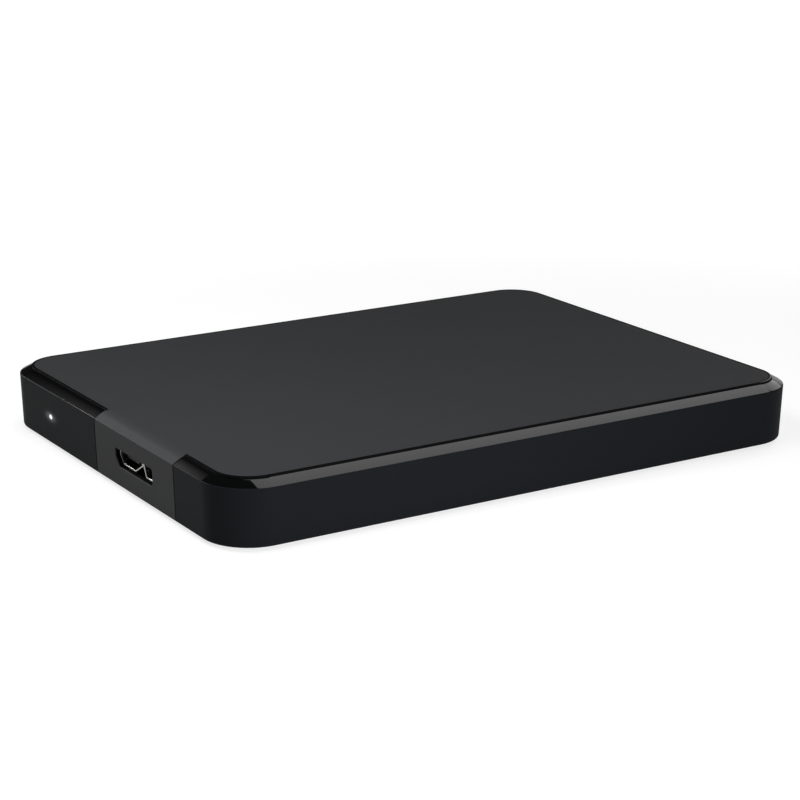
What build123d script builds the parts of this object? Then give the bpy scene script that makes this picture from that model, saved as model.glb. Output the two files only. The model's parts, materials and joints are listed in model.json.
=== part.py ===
from build123d import *
import os
from math import acos, atan2, cos, degrees, hypot, radians, sin

# Slim portable hard drive: two plastic shells that clip together round a 2.5 inch drive
# whose own circuit board carries the socket. Millimetres, Z up, the port end faces -Y,
# and the feet stand on Z = 0.

# Plan of the drive: a square bay for the disk, and the arm's bay ahead of it
drive_width = 69.85
actuator_bay = 30.6
drive_corner = 3.0
drive_wall = 1.425
platter_gap = 1.0
bay_wall = 1.925
bay_corner = 3.0
bay_overlap = 13.0
front_block = 5.0

# Height of the drive, layer by layer from its lowest plane
board_drop = 1.2
board_t = 0.8
board_gap = 0.25
web_t = 0.65
yoke_t = 0.45
magnet_t = 0.5
coil_gap = 0.25
coil_t = 0.8
lid_gap = 0.3
lid_t = 0.6
gasket_t = 0.2
gasket_w = 1.0

# Spindle and disk
well_r = 14.0
well_depth = 2.1
platter_t = 0.8
platter_bore = 20.0
fit_gap = 0.03
shaft_r = 1.25
running_gap = 0.05
sleeve_r = 3.0
sleeve_floor = 0.2
stator_t = 0.7
tooth_count = 9
tooth_w = 1.0
tooth_root_r = 4.4
coil_wrap = 0.35
magnet_ring_t = 0.85
magnet_air = 0.34
cup_wall = 1.45
flange_w = 1.2
flange_t = 0.6
clamp_r = 11.0
clamp_t = 0.4
ring_sides = 36
disk_sides = 72

# Head stack
head_short = 7.3
inner_track = 15.0
park_out = 2.0
slider_l = 1.2
slider_w = 1.0
slider_t = 0.24
fly_gap = 0.06
suspension_t = 0.15
arm_t = 0.5
arm_reach = 24.0
arm_root_w = 10.0
arm_tip_w = 4.4
boss_r = 5.6
bearing_r = 4.0
pivot_r = 2.0
tab_reach = 3.0
tab_w = 0.7
fork_w = 1.3

# Voice coil motor
coil_inner_r = 8.6
coil_outer_r = 17.6
coil_root_w = 6.8
coil_tip_w = 16.0
coil_band = 2.3
yoke_r = 20.2
yoke_inner_r = 7.2
yoke_half_angle = 40.0
yoke_clear = 0.8
magnet_inner_r = 8.0
magnet_outer_r = 18.0
magnet_half_angle = 36.0
post_r = 0.8
post_inset = 1.0

# Parking ramp, flexible circuit and filters
ramp_gap = 0.35
ramp_w = 6.0
ramp_l = 5.0
ramp_lip = 0.6
flex_t = 0.2
flex_w = 1.5
tail_turn = 46.0
tail_half_angle = 20.0
loop_turn = 70.0
loop_sag_x = 7.0
loop_sag_y = 1.5
bracket_x = -16.0
bracket_inset = 7.0
bracket_l = 16.0
bracket_w = 7.0
bracket_t = 1.5
bracket_step = 1.75
filter_l = 9.0
filter_w = 2.5
filter_turn = 45.0
filter_ahead = 5.2
breather_w = 7.0
breather_t = 0.4
breather_in_x = 7.0
breather_in_y = 14.0

# Screws
screw_r = 0.8
screw_head_r = 1.8
screw_head_t = 0.35
screw_gap = 0.1
lid_screw_l = 3.2
board_screw_l = 1.5
boss_wall = 0.5
head_sides = 8
shank_sides = 8
mid_screw_drop = 16.75

# Circuit board and its chips
board_rim = 2.525
board_length = 49.8
board_clear = 0.4
board_overhang = 1.5
board_tab_room = 3.0
chip_t = 0.8
chip_edge = 0.2
foil_t = 0.1
foil_width = 50.0
foil_length = 44.0
foil_lap = 0.4

# Each chip's width and length, and its middle from the middle of the drive's front edge
chips = {
    "controller_chip": (12.0, 12.0, -10.0, 20.0),
    "memory_chip": (8.0, 11.0, 9.0, 14.0),
    "motor_chip": (7.0, 7.0, 4.0, 36.0),
}

# Micro-B SuperSpeed socket
port_x = 9.8
port_w = 12.2
port_h = 2.3
port_sheet = 0.25
port_length = 8.0
port_seat = 0.25
port_inset = 0.7
port_slope_w = 1.25
port_slope_h = 1.5
port_ss_w = 2.8
port_notch_l = 2.8
port_notch_r = 0.9
port_notch_top = 0.6
port_edge_cut = 0.6
port_window_gap = 0.4
port_throat = 4.5
port_back_t = 0.3
port_room = 0.8
solder_foot_w = 0.5
solder_foot_l = 2.0
blade_t = 0.6
blade_drop = 0.35
blade_reach = 3.8
contact_t = 0.1
contact_share = 0.6
contact_setback = 0.4
contact_count = 5

# Status light
led_inset = 18.8
led_w = 3.0
led_d = 1.2
led_h = 1.9
led_axis_h = 1.16
pipe_r = 0.6
pipe_sides = 12
pipe_gap = 0.03
pipe_block_w = 1.8

# Shells, feet and bumpers
foot_proud = 0.5
foot_r = 4.5
foot_sides = 20
foot_inset = 9.0
floor_t = 1.3
drive_lift = 0.4
lid_room = 0.3
plate_t = 1.5
plate_rim_t = 0.8
wall = 1.5
draft = 0.31
edge_cut = 0.35
side_room = 4.265
front_room = 4.4
rear_room = 2.03
rim_radius = 8.25
bevel_inset = 1.95
bevel_drop = 1.23
bevel_crown = 0.13
reveal_step = 0.26
reveal_gap = 0.12
ledge_w = 1.6
ledge_t = 0.9
ledge_clear = 0.2
tongue_w = 27.9
tongue_root = 8.0
tongue_blend = 4.0
seam_gap = 0.12
hook_w = 5.0
hook_t = 0.8
hook_l = 0.9
hook_barb = 0.5
hook_gap = 0.1
hook_pitch = 26.0
hook_count = 3
bumper_reach = 8.0
bumper_gap = 0.05

# Heights worked out from the layers
case_z = foot_proud
floor_z = case_z + floor_t
drive_z = floor_z + drive_lift
board_z = drive_z + board_drop
board_top_z = board_z + board_t
web_z = board_top_z + board_gap
chamber_z = web_z + web_t
disk_z = chamber_z + yoke_t + magnet_t + coil_gap + coil_t / 2
lid_z = disk_z + coil_t / 2 + coil_gap + magnet_t + yoke_t + lid_gap
drive_top_z = lid_z + lid_t
base_top_z = lid_z - gasket_t
plate_z = drive_top_z + lid_room
top_z = plate_z + plate_t
rim_z = top_z - bevel_drop
bevel_z = top_z - reveal_step
ledge_z = top_z - plate_rim_t
ledge_under_z = ledge_z - ledge_t
well_z = chamber_z - well_depth

# Plan worked out from the drive outwards
drive_length = drive_width + actuator_bay
wall_inset = draft + wall
half_w = drive_width / 2 + side_room + wall_inset
half_l = (drive_length + front_room + rear_room) / 2 + wall_inset
cavity_w = half_w - wall_inset
cavity_l = half_l - wall_inset
plate_inset = bevel_inset + reveal_gap
ledge_inset = bevel_inset + ledge_w
step_inset = ledge_inset + ledge_clear
drive_front_y = front_room - cavity_l
drive_rear_y = drive_front_y + drive_length
drive_mid_y = (drive_front_y + drive_rear_y) / 2
spindle_y = drive_rear_y - drive_width / 2
chamber_r = drive_width / 2 - drive_wall
platter_r = chamber_r - platter_gap
hub_r = platter_bore / 2 - fit_gap
magnet_r = hub_r - cup_wall - fit_gap
stator_r = magnet_r - magnet_ring_t - magnet_air
bay_half = drive_width / 2 - bay_wall
bay_front_y = drive_front_y + front_block
bay_rear_y = spindle_y - chamber_r + bay_overlap

# Arm geometry: the heads' circle round the pivot crosses the tracks
pivot_x = bay_half - yoke_clear - yoke_r
pivot_y = bay_front_y + yoke_clear + yoke_r
pivot_span = hypot(pivot_x, spindle_y - pivot_y)
head_reach = pivot_span - head_short


def arm_angle(track):
    """Angle at the pivot between the spindle and a head on this track radius."""
    return degrees(acos((pivot_span**2 + head_reach**2 - track**2) / (2 * pivot_span * head_reach)))


spindle_dir = degrees(atan2(spindle_y - pivot_y, -pivot_x))
park_dir = spindle_dir + arm_angle(platter_r + park_out)
arm_swing = arm_angle(platter_r + park_out) - arm_angle(inner_track)
coil_dir = park_dir + 180
yoke_dir = coil_dir - arm_swing / 2
suspension_in = platter_t / 2 + fly_gap + slider_t
arm_in = suspension_in + suspension_t

# Socket and board places
port_z = board_top_z + port_seat
port_left = port_x - port_w / 2
port_top_z = port_z + port_h
port_front_y = port_inset - half_l
board_front_y = drive_front_y - board_overhang
board_half = drive_width / 2 - board_rim
led_x = led_inset - half_w
led_z = board_top_z + led_axis_h

os.makedirs("parts", exist_ok=True)


def keep(builder, name):
    """Label a finished piece and write it."""
    builder.part.label = name
    export_step(builder.part, f"parts/{name}.step")


def turned(direction, z):
    """Plane at the pivot whose X axis points in a direction, in degrees."""
    x_dir = (cos(radians(direction)), sin(radians(direction)), 0)
    return Plane(origin=(pivot_x, pivot_y, z), x_dir=x_dir, z_dir=(0, 0, 1))


def fan(inner_r, outer_r, half_angle):
    """Ring sector about the origin, centred on the X axis."""
    far = 2 * outer_r
    side = far * sin(radians(half_angle)) / cos(radians(half_angle))
    with BuildSketch() as sector:
        Circle(outer_r)
        Circle(inner_r, mode=Mode.SUBTRACT)
        Polygon((0, 0), (far, -side), (far, side), align=None, mode=Mode.INTERSECT)
    return sector.sketch


def bay_outline(width, length):
    """Rectangle with its corners cut off."""
    with BuildSketch() as outline:
        Rectangle(width, length)
        chamfer(outline.vertices(), length=bay_corner)
    return outline.sketch


def chamber_outline(margin):
    """Plan of the sealed chamber: the disk's circle joined to the arm's bay."""
    with BuildSketch() as outline:
        with Locations((0, spindle_y)):
            RegularPolygon(chamber_r + margin, disk_sides)
        with Locations((0, (bay_front_y + bay_rear_y) / 2)):
            bay_l = bay_rear_y - bay_front_y
            add(bay_outline(2 * (bay_half + margin), bay_l + 2 * margin))
    return outline.sketch


def coil_outline(margin):
    """Plan of the voice coil, a fan whose axis is the X axis."""
    root = coil_root_w / 2 + margin
    tip = coil_tip_w / 2 + margin
    inner = coil_inner_r - margin
    outer = coil_outer_r + margin
    with BuildSketch() as outline:
        Polygon((inner, -root), (outer, -tip), (outer, tip), (inner, root), align=None)
        Circle(outer, mode=Mode.INTERSECT)
    return outline.sketch


chamber = chamber_outline(0)
coil_plan = coil_outline(0)
coil_window = coil_outline(-coil_band)
fork_plan = coil_outline(fork_w)
fork_seat = coil_outline(fit_gap)
yoke_plan = fan(yoke_inner_r, yoke_r, yoke_half_angle)
magnet_plan = fan(magnet_inner_r, magnet_outer_r, magnet_half_angle)

# Screw places
corner_x = drive_width / 2 - drive_corner
edge_screw_rows = (drive_front_y + drive_corner, spindle_y - mid_screw_drop, drive_rear_y - drive_corner)
edge_screw_spots = [(x, y) for x in (-corner_x, corner_x) for y in edge_screw_rows]
lid_screw_spots = edge_screw_spots + [(pivot_x, pivot_y)]
board_screw_x = board_half - screw_head_r - board_clear
board_screw_rows = (drive_front_y + front_block / 2, drive_front_y + board_length - screw_head_r)
board_screw_spots = [(x, y) for x in (-board_screw_x, board_screw_x) for y in board_screw_rows]

# Bottom case: one wall section swept round the rim, closed by a floor
bevel_low = (0, rim_z)
bevel_high = (bevel_inset, bevel_z)
bevel_rise = bevel_z - rim_z
bevel_out = bevel_crown / hypot(bevel_inset, bevel_rise)
bevel_mid = (bevel_inset / 2 - bevel_out * bevel_rise, rim_z + bevel_rise / 2 + bevel_out * bevel_inset)

with BuildPart() as bottom_case:
    with BuildLine() as rim_line:
        FilletPolyline((half_w, -half_l), (half_w, half_l), (-half_w, half_l), (-half_w, -half_l),
                       radius=rim_radius, close=True)
    run = rim_line.line % 0
    with BuildSketch(Plane(origin=rim_line.line @ 0, x_dir=(-run.Y, run.X, 0), z_dir=run)):
        with BuildLine():
            Polyline(bevel_low, bevel_mid, bevel_high, (bevel_inset, ledge_z), (ledge_inset, ledge_z),
                     (ledge_inset, ledge_under_z), (wall_inset, ledge_under_z), (wall_inset, case_z),
                     (draft + edge_cut, case_z), (draft, case_z + edge_cut), close=True)
        make_face()
    sweep()
    with BuildSketch(Plane.XY.offset(case_z)):
        lap = wall / 2
        RectangleRounded(2 * (cavity_w + lap), 2 * (cavity_l + lap), rim_radius - wall_inset + lap)
    extrude(amount=floor_t)
    # Notch for the tongue, through the wall and then through the ledge
    with BuildSketch(Plane.XY):
        with Locations((port_x, -half_l)):
            Rectangle(tongue_w + 2 * seam_gap, 2 * wall_inset)
    extrude(amount=top_z, mode=Mode.SUBTRACT)
    with BuildSketch(Plane.XY.offset(ledge_under_z)):
        with Locations((port_x, -half_l)):
            Rectangle(tongue_w + 2 * seam_gap, 2 * (ledge_inset + ledge_clear))
    extrude(amount=top_z - ledge_under_z, mode=Mode.SUBTRACT)
    # Hole of the light pipe
    with BuildSketch(Plane.XZ.offset(half_l)):
        with Locations((led_x, led_z)):
            RegularPolygon(pipe_r + pipe_gap, pipe_sides)
    extrude(amount=-wall_inset, mode=Mode.SUBTRACT)
keep(bottom_case, "bottom_case")

# Top cover: plate in the rebate, tongue over the port end, port window, snap hooks
with BuildPart() as top_cover:
    with BuildSketch(Plane.XY.offset(ledge_z)):
        RectangleRounded(2 * (half_w - plate_inset), 2 * (half_l - plate_inset), rim_radius - plate_inset)
    extrude(amount=plate_rim_t)
    with BuildSketch(Plane.XY.offset(plate_z)):
        RectangleRounded(2 * (half_w - step_inset), 2 * (half_l - step_inset), rim_radius - step_inset)
    extrude(amount=ledge_z - plate_z)
    with BuildSketch(Plane.XY.offset(plate_z)):
        with Locations((port_x, -half_l)):
            Rectangle(tongue_w, 2 * tongue_root)
    extrude(amount=plate_t, mode=Mode.SUBTRACT)
    with BuildSketch(Plane.YZ.offset(port_x - tongue_w / 2)) as tongue_section:
        crest = (plate_inset - half_l, top_z)
        root_y = tongue_root - half_l
        inner_y = -cavity_l - seam_gap
        with BuildLine():
            Polyline((-half_l, rim_z), crest, (root_y, top_z), (root_y, plate_z), (inner_y, plate_z),
                     (inner_y, case_z), (draft - half_l, case_z), close=True)
        make_face()
        fillet(tongue_section.vertices().sort_by_distance(crest)[0], radius=tongue_blend)
        chamfer(tongue_section.vertices().sort_by_distance((draft - half_l, case_z))[0], length=edge_cut)
    extrude(amount=tongue_w)
    with BuildSketch(Plane.XZ.offset(half_l)):
        low = port_z - port_window_gap
        high = port_top_z + port_window_gap
        left = port_left - port_window_gap
        right = port_left + port_w + port_window_gap
        Polygon((left, high), (left, low + port_slope_h), (left + port_slope_w, low),
                (right - port_edge_cut, low), (right, low + port_edge_cut), (right, high), align=None)
    extrude(amount=-2 * wall_inset, mode=Mode.SUBTRACT)
    # Snap hooks: each drops past the ledge and its barb turns out under it
    for side in (-1, 1):
        for hook in range(hook_count):
            hook_y = (hook - (hook_count - 1) / 2) * hook_pitch + hook_w / 2
            outer = half_w - step_inset
            barb_top = ledge_under_z - hook_gap
            with BuildSketch(Plane.XZ.offset(-hook_y)):
                Polygon((side * (outer - hook_t), plate_z), (side * outer, plate_z),
                        (side * outer, barb_top), (side * (outer + hook_barb), barb_top),
                        (side * outer, plate_z - hook_l), (side * (outer - hook_t), plate_z - hook_l),
                        align=None)
            extrude(amount=hook_w)
keep(top_cover, "top_cover")

# Rubber feet, stuck under the floor's corners
foot_number = 0
for foot_x in (foot_inset - half_w, half_w - foot_inset):
    for foot_y in (foot_inset - half_l, half_l - foot_inset):
        foot_number += 1
        with BuildPart() as foot:
            with BuildSketch():
                with Locations((foot_x, foot_y)):
                    RegularPolygon(foot_r, foot_sides)
            extrude(amount=foot_proud)
        keep(foot, f"foot_{foot_number}")

# Rubber bumpers round the drive's corners
bumper_number = 0
for side_x in (-1, 1):
    for side_y in (-1, 1):
        bumper_number += 1
        end_y = drive_rear_y if side_y > 0 else drive_front_y
        corner = (side_x * (drive_width / 2 - bumper_reach), end_y - side_y * bumper_reach)
        outward = (Align.MIN if side_x > 0 else Align.MAX, Align.MIN if side_y > 0 else Align.MAX)
        with BuildPart() as bumper:
            with BuildSketch(Plane.XY.offset(floor_z)):
                with Locations(corner):
                    Rectangle(half_w, half_l, align=outward)
                RectangleRounded(2 * (cavity_w - bumper_gap), 2 * (cavity_l - bumper_gap),
                                 rim_radius - wall_inset, mode=Mode.INTERSECT)
            extrude(amount=ledge_under_z - hook_gap - floor_z)
            with BuildSketch(Plane.XY.offset(drive_z)):
                with Locations(corner):
                    Rectangle(bumper_reach + rear_room, bumper_reach, align=outward)
                RectangleRounded(2 * (half_w - step_inset), 2 * (half_l - step_inset),
                                 rim_radius - step_inset, mode=Mode.INTERSECT)
            extrude(amount=plate_z - drive_z)
            with BuildSketch(Plane.XY.offset(drive_z)):
                with Locations((0, drive_mid_y)):
                    RectangleRounded(drive_width + 2 * bumper_gap, drive_length + 2 * bumper_gap,
                                     drive_corner)
            extrude(amount=drive_top_z - drive_z, mode=Mode.SUBTRACT)
        keep(bumper, f"bumper_{bumper_number}")

# Drive base: a casting with the chamber above and the board's pocket below
with BuildPart() as drive_base:
    with BuildSketch(Plane.XY.offset(drive_z)):
        with Locations((0, drive_mid_y)):
            RectangleRounded(drive_width, drive_length, drive_corner)
    extrude(amount=base_top_z - drive_z)
    with BuildSketch(Plane.XY.offset(chamber_z)):
        add(chamber)
    extrude(amount=base_top_z - chamber_z, mode=Mode.SUBTRACT)
    with BuildSketch(Plane.XY.offset(well_z)):
        with Locations((0, spindle_y)):
            RegularPolygon(well_r, ring_sides)
    extrude(amount=well_depth, mode=Mode.SUBTRACT)
    with BuildSketch(Plane.XY.offset(drive_z)):
        with Locations((0, drive_front_y)):
            Rectangle(2 * (board_half + board_clear), board_length + 2 * board_clear,
                      align=(Align.CENTER, Align.MIN))
        with Locations((0, spindle_y)):
            RegularPolygon(well_r + drive_wall, ring_sides, mode=Mode.SUBTRACT)
    extrude(amount=web_z - drive_z, mode=Mode.SUBTRACT)
    # Bosses that the board is screwed up to, and the socket's recess
    with BuildSketch(Plane.XY.offset(board_top_z)):
        with Locations(*board_screw_spots):
            RegularPolygon(screw_r + boss_wall, shank_sides)
    extrude(amount=board_screw_l + boss_wall)
    with BuildSketch(Plane.XY.offset(web_z)):
        with Locations((port_x, drive_front_y)):
            recess_y = port_front_y + port_length + port_back_t - drive_front_y + board_clear
            Rectangle(port_w + 2 * port_room, recess_y, align=(Align.CENTER, Align.MIN))
    extrude(amount=port_top_z + board_clear - web_z, mode=Mode.SUBTRACT)
    # Screw holes from above and below
    with BuildSketch(Plane.XY.offset(lid_z - lid_screw_l)):
        with Locations(*edge_screw_spots):
            RegularPolygon(screw_r + fit_gap, shank_sides)
    extrude(amount=lid_screw_l, mode=Mode.SUBTRACT)
    with BuildSketch(Plane.XY.offset(board_top_z)):
        with Locations(*board_screw_spots):
            RegularPolygon(screw_r + fit_gap, shank_sides)
    extrude(amount=board_screw_l, mode=Mode.SUBTRACT)
keep(drive_base, "drive_base")

# Gasket: a band round the chamber's edge, inside the screws
gasket_plan = chamber_outline(gasket_w)
with BuildPart() as lid_gasket:
    with BuildSketch(Plane.XY.offset(base_top_z)):
        add(gasket_plan)
        add(chamber, mode=Mode.SUBTRACT)
    extrude(amount=gasket_t)
keep(lid_gasket, "lid_gasket")

# Stamped lid with sunk screw seats
with BuildPart() as drive_lid:
    with BuildSketch(Plane.XY.offset(lid_z)):
        with Locations((0, drive_mid_y)):
            RectangleRounded(drive_width, drive_length, drive_corner)
    extrude(amount=lid_t)
    with BuildSketch(Plane.XY.offset(drive_top_z)):
        with Locations(*lid_screw_spots):
            RegularPolygon(screw_head_r + screw_gap, head_sides)
    extrude(amount=-screw_head_t, mode=Mode.SUBTRACT)
    with BuildSketch(Plane.XY.offset(lid_z)):
        with Locations(*lid_screw_spots):
            RegularPolygon(screw_r + screw_gap, shank_sides)
    extrude(amount=lid_t, mode=Mode.SUBTRACT)
keep(drive_lid, "drive_lid")


def screws(spots, head_z, up, length):
    """Screws at a list of places, drawn with few sides, with the heads above or below head_z."""
    with BuildPart() as group:
        with BuildSketch(Plane.XY.offset(head_z)):
            with Locations(*spots):
                RegularPolygon(screw_head_r, head_sides)
        extrude(amount=up * screw_head_t)
        with BuildSketch(Plane.XY.offset(head_z)):
            with Locations(*spots):
                RegularPolygon(screw_r, shank_sides)
        extrude(amount=-up * length)
    return group


lid_screws = screws(lid_screw_spots, drive_top_z - screw_head_t, 1, lid_screw_l)
keep(lid_screws, "lid_screws")
board_screws = screws(board_screw_spots, board_z, -1, board_t + board_screw_l)
keep(board_screws, "board_screws")

# Spindle motor, fixed side: bearing sleeve, stator core with its teeth, windings
core_z = well_z + coil_wrap + coil_gap + stator_t / 2
with BuildPart() as spindle_sleeve:
    with BuildSketch(Plane.XY.offset(well_z)):
        with Locations((0, spindle_y)):
            RegularPolygon(sleeve_r, ring_sides)
    sleeve_top_z = disk_z - platter_t / 2 - flange_t - coil_gap
    extrude(amount=sleeve_top_z - well_z)
    with BuildSketch(Plane.XY.offset(well_z + sleeve_floor)):
        with Locations((0, spindle_y)):
            Circle(shaft_r + running_gap)
    extrude(amount=sleeve_top_z, mode=Mode.SUBTRACT)
keep(spindle_sleeve, "spindle_sleeve")

with BuildPart() as stator_core:
    with BuildSketch(Plane.XY.offset(core_z)):
        with Locations((0, spindle_y)):
            RegularPolygon(tooth_root_r, ring_sides)
            with PolarLocations(0, tooth_count):
                Rectangle(stator_r, tooth_w, align=(Align.MIN, Align.CENTER))
            RegularPolygon(sleeve_r + fit_gap, ring_sides, mode=Mode.SUBTRACT)
    extrude(amount=stator_t / 2, both=True)
keep(stator_core, "stator_core")

with BuildPart() as stator_coils:
    coil_l = stator_r - tooth_root_r - 2 * coil_wrap
    with BuildSketch(Plane.XY.offset(core_z)):
        with Locations((0, spindle_y)):
            with PolarLocations(tooth_root_r + coil_wrap + coil_l / 2, tooth_count):
                Rectangle(coil_l, tooth_w + 2 * coil_wrap)
    extrude(amount=stator_t / 2 + coil_wrap, both=True)
    with BuildSketch(Plane.XY.offset(core_z)):
        with Locations((0, spindle_y)):
            with PolarLocations(tooth_root_r + coil_wrap + coil_l / 2, tooth_count):
                Rectangle(coil_l + coil_wrap, tooth_w + 2 * fit_gap)
    extrude(amount=stator_t / 2 + fit_gap, both=True, mode=Mode.SUBTRACT)
keep(stator_coils, "stator_coils")

# Spindle motor, turning side: hub with its shaft and cup, magnet ring, disk, clamp, screw
seat_z = disk_z - platter_t / 2
crown_z = seat_z - flange_t
cup_z = well_z + coil_wrap
hub_top_z = seat_z + platter_t - screw_gap
with BuildPart() as spindle_hub:
    with BuildSketch(Plane.XY.offset(cup_z)):
        with Locations((0, spindle_y)):
            RegularPolygon(hub_r + flange_w, ring_sides)
            RegularPolygon(hub_r - cup_wall, ring_sides, mode=Mode.SUBTRACT)
            Circle(shaft_r)
    extrude(amount=crown_z - cup_z)
    for layer_r, layer_z, layer_top_z in ((hub_r + flange_w, crown_z, seat_z), (hub_r, seat_z, hub_top_z)):
        with BuildSketch(Plane.XY.offset(layer_z)):
            with Locations((0, spindle_y)):
                RegularPolygon(layer_r, ring_sides)
        extrude(amount=layer_top_z - layer_z)
    with BuildSketch(Plane.XY.offset(hub_top_z)):
        with Locations((0, spindle_y)):
            RegularPolygon(screw_r + fit_gap, shank_sides)
    extrude(amount=crown_z - hub_top_z, mode=Mode.SUBTRACT)
keep(spindle_hub, "spindle_hub")

with BuildPart() as rotor_magnet:
    with BuildSketch(Plane.XY.offset(cup_z + coil_gap)):
        with Locations((0, spindle_y)):
            RegularPolygon(magnet_r, ring_sides)
            RegularPolygon(magnet_r - magnet_ring_t, ring_sides, mode=Mode.SUBTRACT)
    extrude(amount=crown_z - cup_z - 2 * coil_gap)
keep(rotor_magnet, "rotor_magnet")

with BuildPart() as platter:
    with BuildSketch(Plane.XY.offset(seat_z)):
        with Locations((0, spindle_y)):
            RegularPolygon(platter_r, disk_sides)
            RegularPolygon(platter_bore / 2, ring_sides, mode=Mode.SUBTRACT)
    extrude(amount=platter_t)
keep(platter, "platter")

with BuildPart() as disk_clamp:
    with BuildSketch(Plane.XY.offset(seat_z + platter_t)):
        with Locations((0, spindle_y)):
            RegularPolygon(clamp_r, ring_sides)
            RegularPolygon(screw_r + screw_gap, shank_sides, mode=Mode.SUBTRACT)
    extrude(amount=clamp_t)
keep(disk_clamp, "disk_clamp")

clamp_screw = screws([(0, spindle_y)], seat_z + platter_t + clamp_t, 1, hub_top_z - crown_z)
keep(clamp_screw, "clamp_screw")

# Head stack: pivot shaft on the casting, bearing, comb with fork, coil, suspensions, sliders
with BuildPart() as pivot_shaft:
    with BuildSketch(turned(0, chamber_z)):
        Circle(pivot_r)
    extrude(amount=lid_z - chamber_z)
    with BuildSketch(turned(0, lid_z)):
        RegularPolygon(screw_r + fit_gap, shank_sides)
    extrude(amount=-lid_screw_l, mode=Mode.SUBTRACT)
keep(pivot_shaft, "pivot_shaft")

comb_low = disk_z - arm_in - arm_t
comb_high = disk_z + arm_in + arm_t
with BuildPart() as pivot_bearing:
    with BuildSketch(turned(park_dir, comb_low)):
        RegularPolygon(bearing_r, ring_sides)
        Circle(pivot_r + running_gap, mode=Mode.SUBTRACT)
    extrude(amount=comb_high - comb_low)
keep(pivot_bearing, "pivot_bearing")

with BuildPart() as actuator_arm:
    with BuildSketch(turned(park_dir, comb_low)):
        RegularPolygon(boss_r, ring_sides)
    extrude(amount=comb_high - comb_low)
    for arm_z in (comb_low, comb_high - arm_t):
        with BuildSketch(turned(park_dir, arm_z)):
            Polygon((0, -arm_root_w / 2), (arm_reach, -arm_tip_w / 2), (arm_reach, arm_tip_w / 2),
                    (0, arm_root_w / 2), align=None)
        extrude(amount=arm_t)
    with BuildSketch(turned(coil_dir, disk_z - coil_t / 2)):
        add(fork_plan)
        add(fork_seat, mode=Mode.SUBTRACT)
        with Locations((coil_outer_r - coil_band, 0)):
            Rectangle(coil_outer_r, 2 * coil_tip_w, align=(Align.MIN, Align.CENTER), mode=Mode.SUBTRACT)
        with Locations((0, 0)):
            Rectangle(coil_inner_r - fit_gap, coil_root_w, align=(Align.MIN, Align.CENTER))
    extrude(amount=coil_t)
    with BuildSketch(turned(park_dir, comb_low)):
        RegularPolygon(bearing_r + fit_gap, ring_sides)
    extrude(amount=comb_high - comb_low, mode=Mode.SUBTRACT)
keep(actuator_arm, "actuator_arm")

with BuildPart() as voice_coil:
    with BuildSketch(turned(coil_dir, disk_z - coil_t / 2)):
        add(coil_plan)
        add(coil_window, mode=Mode.SUBTRACT)
    extrude(amount=coil_t)
keep(voice_coil, "voice_coil")

for name, near, step in (("upper", disk_z + suspension_in, 1), ("lower", disk_z - suspension_in, -1)):
    beam_end = head_reach + slider_l
    with BuildPart() as suspension:
        with BuildSketch(turned(park_dir, near)):
            tip = arm_tip_w / 2
            Polygon((arm_reach - tip, -tip), (arm_reach + tip, -tip), (beam_end, -slider_w),
                    (beam_end, slider_w), (arm_reach + tip, tip), (arm_reach - tip, tip), align=None)
            with Locations((beam_end - tab_w, 0)):
                Rectangle(tab_reach - slider_l + tab_w, tab_w, align=(Align.MIN, Align.CENTER))
        extrude(amount=step * suspension_t)
    keep(suspension, f"suspension_{name}")
    with BuildPart() as slider:
        with BuildSketch(turned(park_dir, near)):
            with Locations((head_reach, 0)):
                Rectangle(slider_l, slider_w)
        extrude(amount=-step * slider_t)
    keep(slider, f"slider_{name}")

# Voice coil motor: two yokes with a magnet each, held apart by posts
with BuildPart() as lower_yoke:
    with BuildSketch(turned(yoke_dir, chamber_z)):
        add(yoke_plan)
    extrude(amount=yoke_t)
    with BuildSketch(turned(yoke_dir, chamber_z)):
        with PolarLocations(yoke_r - post_inset, 2, -yoke_half_angle / 2, yoke_half_angle, endpoint=True):
            RegularPolygon(post_r, shank_sides)
    extrude(amount=yoke_t + 2 * (magnet_t + coil_gap) + coil_t)
keep(lower_yoke, "lower_yoke")

with BuildPart() as upper_yoke:
    with BuildSketch(turned(yoke_dir, lid_z - lid_gap)):
        add(yoke_plan)
    extrude(amount=-yoke_t)
keep(upper_yoke, "upper_yoke")

for name, magnet_z in (("lower", chamber_z + yoke_t), ("upper", lid_z - lid_gap - yoke_t - magnet_t)):
    with BuildPart() as magnet:
        with BuildSketch(turned(yoke_dir, magnet_z)):
            add(magnet_plan)
        extrude(amount=magnet_t)
    keep(magnet, f"{name}_magnet")

# Parking ramp: a shelf beside the disk's rim that the lift tabs rest on, and its foot
shelf_half = suspension_in - running_gap
tab_end = head_reach + tab_reach
with BuildPart() as parking_ramp:
    with BuildSketch(turned(park_dir, chamber_z)):
        with Locations((tab_end + ramp_lip, 0)):
            Rectangle(ramp_l, ramp_w, align=(Align.MIN, Align.CENTER))
    extrude(amount=disk_z + shelf_half + ramp_lip - chamber_z)
    with BuildSketch(turned(park_dir, disk_z - shelf_half)):
        with Locations((head_reach + slider_l, 0)):
            Rectangle(tab_reach, ramp_w, align=(Align.MIN, Align.CENTER))
    extrude(amount=2 * shelf_half)
    with BuildSketch(Plane.XY.offset(chamber_z)):
        with Locations((0, spindle_y)):
            Circle(platter_r + ramp_gap)
    extrude(amount=lid_z - chamber_z, mode=Mode.SUBTRACT)
    with BuildSketch(turned(park_dir, chamber_z)):
        with Locations((tab_end + ramp_lip + ramp_l / 2, 0)):
            RegularPolygon(screw_r + screw_gap, shank_sides)
    extrude(amount=lid_z - chamber_z, mode=Mode.SUBTRACT)
keep(parking_ramp, "parking_ramp")

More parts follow.
